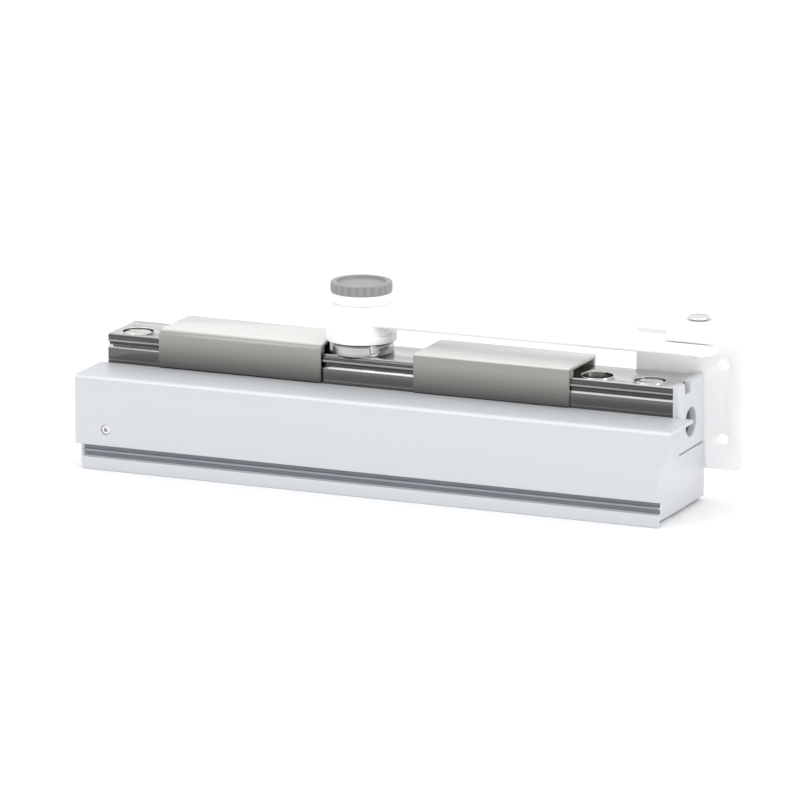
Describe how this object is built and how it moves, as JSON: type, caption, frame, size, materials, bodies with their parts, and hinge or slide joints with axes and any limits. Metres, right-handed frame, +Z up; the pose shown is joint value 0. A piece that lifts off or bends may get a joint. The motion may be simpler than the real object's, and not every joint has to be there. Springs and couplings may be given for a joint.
{
  "type": "door closer",
  "caption": "Surface-mounted hydraulic door closer with a rack-and-pinion body, silver front cover and a slide arm.",
  "frame": {"origin": "centre of the four fixing holes, on the mounting plate's back face", "axes": "+X along the closer towards the spring end, +Y into the door, +Z up along the spindle"},
  "size_m": [0.318, 0.065, 0.094],
  "materials": {
    "cover_silver": "satin silver anodised extrusion",
    "body_dark": "dark polished anodised aluminium",
    "sleeve_grey": "matte warm grey moulding",
    "cap_pale": "pale silver paint",
    "plate_pale": "pale powder coat",
    "arm_silver": "pale silver lacquer",
    "knob_grey": "mid-grey moulded, fluted",
    "steel": "machined steel",
    "bright_screw": "nickel plated",
    "bronze": "sintered bronze bush",
    "spring_steel": "oiled spring steel",
    "seal_rubber": "black nitrile rubber",
    "slide_white": "white acetal"
  },
  "bodies": {
    "housing": {"mounting_plate": "plate_pale", "plate_screws": "steel", "closer_body": "body_dark", "left_sleeve": "sleeve_grey", "right_sleeve": "sleeve_grey", "right_end_cap": "cap_pale", "end_plug": "steel", "main_spring": "spring_steel", "upper_bush": "bronze", "lower_bush": "bronze", "bearing_nut": "steel", "spindle_seal": "seal_rubber", "lower_plug": "steel", "front_cover": "cover_silver", "cover_screw": "bright_screw", "left_end_cover": "cap_pale", "right_end_cover": "cap_pale", "cover_clips": "spring_steel"},
    "spindle_group": {"spindle": "steel", "arm": "arm_silver", "arm_screw": "steel", "hub_cap": "arm_silver", "hub_knob": "knob_grey", "slide_pin": "bright_screw"},
    "slide": {"slide_block": "slide_white"},
    "piston_group": {"piston": "steel", "piston_rings": "seal_rubber", "check_valve": "steel"},
    "adjuster": {"spring_adjuster": "steel"},
    "seat": {"spring_seat": "steel"},
    "closing_screw": {"closing_valve": "bright_screw"},
    "latching_screw": {"latching_valve": "bright_screw"},
    "backcheck_screw": {"backcheck_valve": "bright_screw"}
  },
  "joints": [
    {"name": "spindle_turn", "type": "hinge", "parent": "housing", "child": "spindle_group", "pos_m": [-0.02, -0.02, 0.04], "axis": [0, 0, -1], "range_deg": [0, 150], "stiffness_Nm_per_rad": 1, "springref_deg": -57.3},
    {"name": "piston_slide", "type": "slide", "parent": "housing", "child": "piston_group", "axis": [1, 0, 0], "range_m": [0, 0.0152], "deforming": ["main_spring"]},
    {"name": "slide_block_turn", "type": "hinge", "parent": "spindle_group", "child": "slide", "pos_m": [0.152, -0.02, 0.07], "axis": [0, 0, 1], "range_deg": [-170, 170]},
    {"name": "adjuster_turn", "type": "hinge", "parent": "housing", "child": "adjuster", "pos_m": [0.12, -0.02, 0.026], "axis": [1, 0, 0], "range_deg": [0, 1442]},
    {"name": "seat_slide", "type": "slide", "parent": "housing", "child": "seat", "axis": [1, 0, 0], "range_m": [-0.006, 0], "deforming": ["main_spring"]},
    {"name": "closing_valve_turn", "type": "hinge", "parent": "housing", "child": "closing_screw", "pos_m": [-0.1355, -0.0245, 0.041], "axis": [0, 0, 1], "range_deg": [-180, 180]},
    {"name": "latching_valve_turn", "type": "hinge", "parent": "housing", "child": "latching_screw", "pos_m": [0.1295, -0.0245, 0.041], "axis": [0, 0, 1], "range_deg": [-180, 180]},
    {"name": "backcheck_valve_turn", "type": "hinge", "parent": "housing", "child": "backcheck_screw", "pos_m": [0.103, -0.0245, 0.041], "axis": [0, 0, 1], "range_deg": [-180, 180]}
  ],
  "couplings": [
    {"joint": "piston_slide", "follows": "spindle_turn", "m_per_rad": 0.005625},
    {"joint": "adjuster_turn", "follows": "seat_slide", "rad_per_m": -4188.8}
  ]
}
